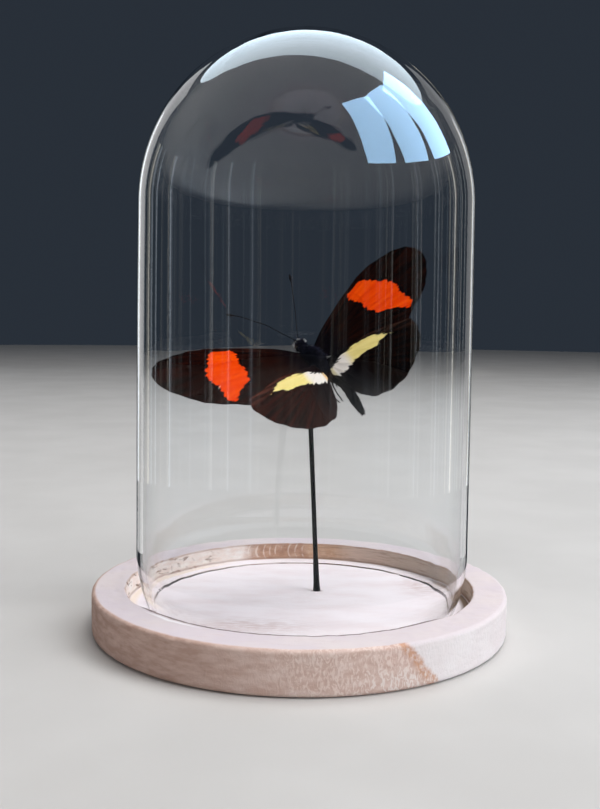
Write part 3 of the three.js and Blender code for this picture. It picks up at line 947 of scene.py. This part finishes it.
def wing_outline(kind, side):
    """The wing's closed edge, with shallow scallops between the ends of its veins."""
    curves = [spline(OUTLINES[kind][0], 8)]
    for stretch in OUTLINES[kind][1:]:
        curves.append(spline([curves[-1][-1]] + stretch, 8)[1:])
    edge = evenly_round(np.vstack(curves), EDGE_POINTS[kind])
    at_vein = np.full(len(edge), 0.05)
    for _, route in VEINS[kind]:
        at_vein = np.maximum(at_vein, hump(np.linalg.norm(edge - route[-1], axis=1), 0, 1.3))
    outer = clamp((edge @ (1.0, -0.9) - 8) / 8)
    ragged = rough(flat(edge), 1.4, 200 + 10 * (side == "left") + (kind == "hindwing"))
    shift = outer * (SCALLOPS[kind] * (at_vein - 0.6) + 0.07 * ragged)
    return edge + outward(edge, edge) * shift[:, None]


def wing_height(side, plan, edge_depth, vein_gap):
    """How far the membrane stands off its plane: a shallow camber, pleats between veins, and a warp."""
    seed = 300 + (side == "left")
    camber = 0.42 * (1 - np.exp(-np.maximum(edge_depth, 0) / 3.5))
    ridge = 0.04 * hump(vein_gap, 0, 0.22) - 0.05 * clamp(vein_gap / 1.6)
    warp = 0.22 * noise(flat(plan), 11.0, seed) + 0.06 * noise(flat(plan), 3.5, seed + 3)
    settle = clamp(np.linalg.norm(plan, axis=1) / 5)
    return (camber + ridge + warp) * settle


def vein_gaps(kind, plan):
    """Distance from each plan point to the nearest vein."""
    gaps = [distance_to_path(plan, spline(route, 5)) for _, route in VEINS[kind]]
    return np.min(gaps, axis=0)


def wing_points(outline, spacing, seed):
    """Points spread through the wing, a little uneven, and clear of the edge."""
    draw = np.random.default_rng(seed)
    low, high = outline.min(0), outline.max(0)
    ys = np.arange(low[1], high[1], spacing * 0.866)
    x, y = np.meshgrid(np.arange(low[0], high[0], spacing), ys, indexing="ij")
    x = x + (np.arange(len(ys)) % 2)[None, :] * spacing / 2
    points = np.column_stack([x.ravel(), y.ravel()]) + draw.uniform(-0.04, 0.04, (x.size, 2))
    return points[depth_in(points, outline) > spacing * 0.45]


def wing_fields(kind, side, plan, vein):
    """What the wing's material reads at plan points."""
    angle = np.arctan2(*(plan - FAN_CENTRE).T[::-1])
    reach = np.linalg.norm(plan - FAN_CENTRE, axis=1)
    out = plan[:, 0]
    from_costa = distance_to_path(plan, spline(OUTLINES[kind][0], 4))
    if kind == "hindwing":
        stripe = hump(np.degrees(angle), -66, 7) * clamp((reach - 7) / 5)
        tint = np.maximum(clamp(1 - from_costa / 2.2) * clamp((out - 6) / 8), 0.8 * stripe)
    else:
        tint = 0.5 * clamp(1 - from_costa / 2.5) * clamp(1 - out / 22)
    nick = 9.0
    if (kind, side) == ("forewing", "left"):
        nick = np.min([distance_to_path(plan, np.array(path)) for path in NICKS], axis=0)
    return dict(plan=flat(plan), polar=flat(np.column_stack([angle * 26, reach])), out=out,
                mark=depth_in(plan, np.array(MARKS[kind], float)), vein=vein, tint=tint, nick=nick,
                lit=LIT[kind, side])


def add_membrane(shape, kind, side, outline):
    """Both faces of the membrane and the rim between them."""
    inner = wing_points(outline, MESH_SPACING, 400 + (side == "left"))
    everything = [Vector(p) for p in np.vstack([outline, inner])]
    made, _, faces, *_ = delaunay_2d_cdt(everything, [], [list(range(len(outline)))], 1, 1e-6)
    plan = np.array([tuple(v) for v in made])
    gap = vein_gaps(kind, plan)
    level = wing_height(side, plan, np.abs(depth_in(plan, outline)), gap)
    thick = 0.055 + 0.03 * hump(gap, 0, 0.3)
    both = np.vstack([np.column_stack([plan, level + thick]), np.column_stack([plan, level - thick])])
    count = len(plan)
    up = [list(f) for f in faces]
    down = [[count + i for i in f[::-1]] for f in up]
    edges = [(a, b) for f in up for a, b in zip(f, f[1:] + f[:1])]
    shared = set(edges)
    rims = [[b, a, count + a, count + b] for a, b in edges if (b, a) not in shared]
    vein = hump(np.tile(gap, 2), 0, 0.16)
    shape.add(both, up + down + rims, **wing_fields(kind, side, both[:, :2], vein))


def add_veins(shape, kind, side, outline):
    """A tapering tube along each vein, half sunk in the membrane."""
    for width, route in VEINS[kind]:
        path = spline(route, 8)
        path = path[depth_in(path, outline) > 0.02]
        level = wing_height(side, path, depth_in(path, outline), vein_gaps(kind, path))
        radii = width * np.linspace(0.42, 0.24, len(path))
        points, faces = tube(np.column_stack([path, level + 0.01]), radii, 6)
        shape.add(points, faces, **wing_fields(kind, side, points[:, :2], 1.0))


def add_fringe(shape, kind, side, outline):
    """The short hair fringe of the outer and inner margins."""
    draw = np.random.default_rng(500 + (side == "left") + 2 * (kind == "hindwing"))
    edge = evenly_round(outline, FRINGE_HAIRS[kind])
    normal = outward(edge, outline)
    outer = (edge @ (1.0, -0.9) > 9) if kind == "forewing" else (edge[:, 1] < -3.2)
    edge, normal = edge[outer], normal[outer]
    level = wing_height(side, edge, np.zeros(len(edge)), vein_gaps(kind, edge))
    lean = draw.normal(0, 0.25, (len(edge), 2))
    ways = np.column_stack([normal + lean, draw.normal(0, 0.12, len(edge))])
    roots = np.column_stack([edge - normal * 0.05, level])
    lengths = draw.uniform(0.16, 0.42, len(edge))
    points, faces = hairs(roots, ways, lengths, radius=0.028, seed=510, droop=0.15)
    fields = wing_fields(kind, side, points[:, :2], 0.0)
    fields["mark"] = np.minimum(fields["mark"], -1.0)
    shape.add(points, faces, **fields)


def make_wing(kind, side, material):
    outline = wing_outline(kind, side)
    shape = Shape(lambda points: from_wing(kind, side, points))
    for add in (add_membrane, add_veins, add_fringe):
        add(shape, kind, side, outline)
    shape.make(f"wing_{kind}_{side}", [material], f"{kind}_{side}")


# ---------------------------------------------------------------- body


def on_ball(count, seed):
    """Unit directions spread evenly over a ball."""
    k = np.arange(count) + 0.5
    polar = np.arccos(1 - 2 * k / count)
    around = math.pi * (1 + 5 ** 0.5) * k
    draw = np.random.default_rng(seed)
    unit = np.column_stack([np.sin(polar) * np.cos(around), np.cos(polar), np.sin(polar) * np.sin(around)])
    return normed(unit + draw.normal(0, 0.03, unit.shape))


def make_thorax(fur):
    shape = Shape(from_body)
    points, unit, faces = ball(THORAX_CENTRE, THORAX_SIZE, 40, 56)
    uneven = 0.12 * rough(points, 1.6, 601) + 0.06 * noise(points, 0.5, 607)
    shape.add(points + unit * uneven[:, None], faces)
    unit = on_ball(7600, 611)
    roots = THORAX_CENTRE + unit * THORAX_SIZE * 0.97
    swept = unit * (1.25, 0.6, 1.25) + (0, -0.6, 0.12)
    lengths = np.random.default_rng(613).uniform(0.5, 1.6, len(roots)) * np.where(unit[:, 1] < -0.6, 1.3, 1.0)
    shape.add(*hairs(roots, swept, lengths, radius=0.042, seed=617, droop=0.45))
    shape.make("thorax_fur", [fur], "thorax")


def add_head_fur(shape, draw):
    """The hair between and behind the eyes."""
    unit = on_ball(2600, 643)
    unit = unit[(np.abs(unit[:, 0]) < 0.72) | (unit[:, 1] < -0.35)]
    roots = HEAD_CENTRE + unit * HEAD_SIZE * 0.96
    lengths = draw.uniform(0.3, 0.9, len(roots))
    shape.add(*hairs(roots, unit + (0, 0.1, 0.1), lengths, radius=0.034, seed=647, droop=0.4))


def add_palp(shape, draw, sign):
    """One of the two furry feelers under the face."""
    count = 170
    path = spline(np.array(PALP_ROUTE) * (sign, 1, 1) + (HEAD_CENTRE[0], 0, 0), 6)
    shape.add(*tube(path, np.linspace(0.24, 0.07, len(path)), 10))
    at = path[np.random.default_rng(651 + sign).integers(0, len(path), count)]
    out = draw.normal(size=(count, 3)) + (sign * 0.3, 0.9, 0.1)
    shape.add(*hairs(at, out, draw.uniform(0.2, 0.5, count), radius=0.03, seed=653 + sign, droop=0.3))


def add_coiled_tongue(shape):
    count = 72
    curl = np.radians(np.linspace(-60, 640, count))
    wind = np.linspace(0.75, 0.14, count) * 0.95
    x = HEAD_CENTRE[0] + np.linspace(-0.05, 0.05, count)
    coil = np.column_stack([x, 6.75 + wind * np.cos(curl), -0.75 + wind * np.sin(curl)])
    shape.add(*tube(coil, 0.075, 8), slot=1)


def make_head(fur, chitin):
    shape = Shape(from_body)
    points, unit, faces = ball(HEAD_CENTRE, HEAD_SIZE, 28, 40)
    shape.add(points + unit * (0.07 * rough(points, 0.8, 631))[:, None], faces)
    shape.add(*tube(NECK_ROUTE, [1.2, 1.0, 0.95], 24))
    draw = np.random.default_rng(641)
    add_head_fur(shape, draw)
    for sign in (-1, 1):
        add_palp(shape, draw, sign)
    add_coiled_tongue(shape)
    shape.make("head_fur", [fur, chitin], "head")


def make_eyes(eye):
    shape = Shape(from_body)
    for sign in (-1, 1):
        points, _, faces = ball(HEAD_CENTRE + EYE_SEAT * (sign, 1, 1), EYE_SIZE, 26, 36)
        shape.add(points, faces)
    shape.make("eyes", [eye], "head")


def make_pale_dots(pale):
    """Tufts of white hair on the head."""
    count = 16
    shape = Shape(from_body)
    for number, spot in enumerate(PALE_DOTS):
        out = normed(spot - HEAD_CENTRE)
        draw = np.random.default_rng(661 + number)
        at = HEAD_CENTRE + out * HEAD_SIZE * 1.03 + draw.normal(0, 0.08, (count, 3))
        ways = out + draw.normal(0, 0.35, (count, 3))
        lengths = draw.uniform(0.4, 0.8, count)
        shape.add(*hairs(at, ways, lengths, radius=0.045, seed=671 + number, droop=0.2))
    shape.make("head_pale_dots", [pale], "head")


def abdomen_radius(t):
    """A spindle: narrow at the waist, full behind the middle and pointed at the tip, with faint rings."""
    rings = 1 - 0.07 * np.abs(np.sin(t * TURN * 4)) ** 6
    return np.interp(t, *zip(*ABDOMEN_GIRTH)) * rings


def make_abdomen(fur):
    rings, sides, count = 90, 36, 5200
    shape = Shape(from_body)
    path = evenly(spline(ABDOMEN_ROUTE, 10), rings)
    t = np.linspace(0, 1, rings)
    shape.add(*tube(path, abdomen_radius(t), sides), brown=np.repeat(clamp(1.4 - t * 5), sides))
    one, two = frames_along(path)
    draw = np.random.default_rng(701)
    place = draw.uniform(0.02, 0.995, count)
    index = (place * (rings - 1)).astype(int)
    angle = draw.uniform(0, TURN, count)
    out = one[index] * np.cos(angle)[:, None] + two[index] * np.sin(angle)[:, None]
    way = normed(np.gradient(path, axis=0)[index])
    roots = path[index] + out * abdomen_radius(place)[:, None] * 0.98
    ways = way + out * np.where(place < 0.2, 0.9, 0.5)[:, None]
    longer = np.where(place < 0.25, 1.8, 1.0) * np.where(place > 0.9, 1.4, 1.0)
    lengths = draw.uniform(0.25, 0.65, count) * longer
    points, faces = hairs(roots, ways, lengths, radius=0.034, seed=709, droop=0.25)
    shape.add(points, faces, brown=np.repeat(clamp(1.4 - place * 5), len(points) // count))
    shape.make("abdomen_fur", [fur], "abdomen")


def make_antenna(side, chitin):
    count = 200
    path = evenly(spline(ANTENNA_ROUTES[side], 8), count)
    t = np.linspace(0, 1, count)
    club = 0.25 * hump(t, 0.945, 0.055) * (t < 0.999)
    scape = 0.09 * clamp(1 - t / 0.02)
    rings = 1 + 0.10 * np.sin(t * TURN * 44)
    shape = Shape(from_body)
    shape.add(*tube(path, (0.098 + club + scape) * rings, 10))
    shape.make(f"antenna_ringed_{side}", [chitin], f"antenna_{side}")


def add_leg_hairs(shape, path, seed):
    count = 420
    draw = np.random.default_rng(seed)
    index = (draw.uniform(0.06, 0.98, count) * (len(path) - 1)).astype(int)
    way = normed(np.gradient(path, axis=0)[index])
    out = normed(np.cross(way, draw.normal(size=(count, 3))))
    lengths = draw.uniform(0.12, 0.38, count)
    roots = path[index] + out * 0.12
    shape.add(*hairs(roots, way * 0.9 + out, lengths, radius=0.02, seed=821, droop=0.2))


def add_claws(shape, path):
    end = path[-1]
    tip = normed(end - path[-6])
    for sign in (-1, 1):
        aside = np.cross(tip, (0, 0, 1.0)) * sign
        hook = end + tip * 0.3 + aside * 0.1 - (0, 0, 0.12)
        claw = spline([end - tip * 0.1, end + tip * 0.15 + aside * 0.12, hook], 4)
        shape.add(*tube(claw, np.linspace(0.05, 0.012, len(claw)), 6))


def make_leg(pair, side, chitin):
    count = 90
    sign, lean = SIDES[side], LEG_LEAN[pair] if side == "left" else 0.0
    route = [(sign * x + lean * max(i - 1, 0) / 3, y, z) for i, (x, y, z) in enumerate(LEG_ROUTES[pair])]
    path = evenly(spline(route, 8), count)
    t = np.linspace(0, 1, count)
    femur = 0.10 * hump(t, 0.2, 0.12) + 0.05 * hump(t, 0.5, 0.1)
    tarsus = np.where(t > 0.68, 0.012 * np.sin(t * TURN * 16), 0.0)
    shape = Shape(from_body)
    shape.add(*tube(path, 0.20 - 0.11 * t + femur + tarsus, 8))
    add_leg_hairs(shape, path, 801 + 2 * (pair == "hind") + (side == "left"))
    add_claws(shape, path)
    shape.make(f"leg_jointed_{pair}_{side}", [chitin], f"leg_{pair}_{side}")


def make_butterfly():
    fur = fur_material("body_fur", (12, 12, 17), (48, 48, 66))
    short = fur_material("abdomen_hair", (7, 6, 6), (24, 20, 20), 0.02, 0.15)
    pale = fur_material("pale_fur", (214, 214, 218), (240, 238, 230), 0.1)
    chitin = chitin_material()
    make_thorax(fur)
    make_head(fur, chitin)
    make_eyes(eye_material())
    make_pale_dots(pale)
    make_abdomen(short)
    for kind in OUTLINES:
        material = wing_material(kind)
        for side in SIDES:
            make_wing(kind, side, material)
    for side in SIDES:
        make_antenna(side, chitin)
        for pair in LEG_ROUTES:
            make_leg(pair, side, chitin)


# ---------------------------------------------------------------- stage, light and camera


def make_floor():
    """A plain pale tabletop with a rounded far edge."""
    radius, sides = 1900.0, 128
    angle = np.arange(sides) * TURN / sides
    rings = [(radius, -4.0), (radius, -1.0), (radius - 3, 0.0), (400.0, 0.0), (1.0, 0.0)]
    ring = flat(np.column_stack([np.cos(angle), np.sin(angle)]))
    points = np.vstack([ring * r + (0, 0, z) for r, z in rings])
    faces = grid_faces(len(rings), sides) + skin_faces(len(rings), sides)[-1:]
    s = Surface("pale_floor")
    tone = s.step(s.noise(0.02, 3, 0.5), 0.3, 0.7)
    colour = s.mix(tone, (0.56, 0.545, 0.525, 1), (0.60, 0.585, 0.565, 1))
    material = s.done(s.shader(Base_Color=colour, Roughness=0.75, Specular_IOR_Level=0.1))
    floor = mesh_object("floor", points, faces, [material])
    floor.visible_glossy = False


def screen_material():
    """Dim bright streaks, fewer in front."""
    s = Surface("striped_screen")
    turned = s.field("turned")
    along = s.value("ShaderNodeCombineXYZ", 0, X=turned)
    broad = s.step(s.noise(0.075, 3, 0.6, coords=along), 0.46, 0.64)
    fine = s.step(s.noise(0.33, 3, 0.65, coords=along), 0.47, 0.66)
    tone = s.step(s.noise(0.16, 2, 0.5, coords=along), 0.42, 0.58)
    away = s.step(s.math("ABSOLUTE", turned), 22.0, 70.0)
    power = (broad * 0.3 + fine * broad * 6.4) * (away * 0.8 + 0.2)
    colour = s.mix(tone, (0.80, 0.90, 1.0, 1), (1.0, 0.95, 0.80, 1))
    return s.done(s.value("ShaderNodeEmission", 0, Color=colour, Strength=power))


def make_reflector():
    """A striped screen all round, seen only mirrored in the glass, as streaks."""
    sides, radius = 160, 1100.0
    angle = np.radians(np.linspace(-172, 172, sides))
    ring = np.column_stack([radius * np.sin(angle), -radius * np.cos(angle)])
    points = np.vstack([flat(ring) + (0, 0, z) for z in (-150.0, 520.0)])
    fields = {"turned": np.tile(np.degrees(angle), 2)}
    screen = mesh_object("reflector", points, grid_faces(2, sides, wrap=False), [screen_material()], fields)
    for kind in ("camera", "diffuse", "transmission", "shadow", "volume_scatter"):
        setattr(screen, "visible_" + kind, False)


def make_light(name, place, size, power, colour=(1, 1, 1), lights=True, mirrored=True, round_edge=False):
    """A soft box aimed at the dome: it lights what it faces, is mirrored in the glass, or both."""
    data = bpy.data.lights.new(name, "AREA")
    data.shape = "ELLIPSE" if round_edge else "RECTANGLE"
    data.size, data.size_y = size
    data.energy, data.color = power, colour
    lamp = bpy.data.objects.new(name, data)
    lamp.location = place
    lamp.rotation_euler = (Vector((0, 0, 0.07)) - Vector(place)).to_track_quat("-Z", "Y").to_euler()
    lamp.visible_camera = lamp.visible_transmission = False
    lamp.visible_diffuse, lamp.visible_glossy = lights, mirrored
    bpy.context.scene.collection.objects.link(lamp)


def make_lights():
    make_light("key", (0.75, -0.35, 0.62), (0.40, 0.62), 6.2, (0.97, 0.98, 1.0), mirrored=False)
    make_light("top", (0.2, 0.15, 1.05), (0.8, 0.8), 9.6, (1.0, 0.985, 0.985), mirrored=False)
    make_light("fill", (-0.5, -1.0, 0.7), (1.2, 1.0), 3.2, (1.0, 0.97, 0.95), mirrored=False)
    make_light("sky", (0.10, 0.50, 1.02), (1.75, 0.76), 15.0, (0.74, 0.89, 1.0), lights=False,
               round_edge=True)
    for pane, x, y in (("near", 0.80, -0.64), ("middle", 1.0, -0.18), ("far", 1.02, 0.32)):
        make_light("window_" + pane, (x, y, 0.76), (0.44, 1.2), 27.0, (0.40, 0.68, 1.0), lights=False)
    for side, power in (("left", 1.2), ("right", 0.5)):
        make_light("edge_" + side, (SIDES[side] * 0.57, 0.82, 0.25), (0.34, 1.0), power, lights=False)
    world = bpy.data.worlds.new("studio")
    world.use_nodes = True
    world.node_tree.nodes["Background"].inputs["Color"].default_value = (0.022, 0.029, 0.040, 1)
    bpy.context.scene.world = world


CAMERA_PLACE = (0.0, -0.240, 0.07615)
CAMERA_PITCH, CAMERA_YAW, CAMERA_ROLL = 0.0934, -0.0016, 0.0128  # radians
FOCAL_PIXELS, LONG_SIDE, SENSOR = 997.0, 809.0, 36.0


def make_camera():
    data = bpy.data.cameras.new("camera")
    data.sensor_width = SENSOR
    data.lens = SENSOR * FOCAL_PIXELS / LONG_SIDE
    data.clip_start, data.clip_end = 0.01, 20.0
    camera = bpy.data.objects.new("camera", data)
    level = math.cos(CAMERA_PITCH)
    ahead = Vector((math.sin(CAMERA_YAW) * level, math.cos(CAMERA_YAW) * level, -math.sin(CAMERA_PITCH)))
    right = ahead.cross(Vector((0, 0, 1))).normalized()
    up = right.cross(ahead)
    c, s = math.cos(CAMERA_ROLL), math.sin(CAMERA_ROLL)
    columns = Matrix((right * c + up * s, up * c - right * s, -ahead)).transposed()
    camera.matrix_world = Matrix.Translation(CAMERA_PLACE) @ columns.to_4x4()
    bpy.context.scene.collection.objects.link(camera)
    bpy.context.scene.camera = camera


bpy.context.scene.view_settings.view_transform = "Standard"
make_camera()
make_floor()
make_lights()
make_reflector()
make_base()
make_dome()
make_rod()
make_butterfly()
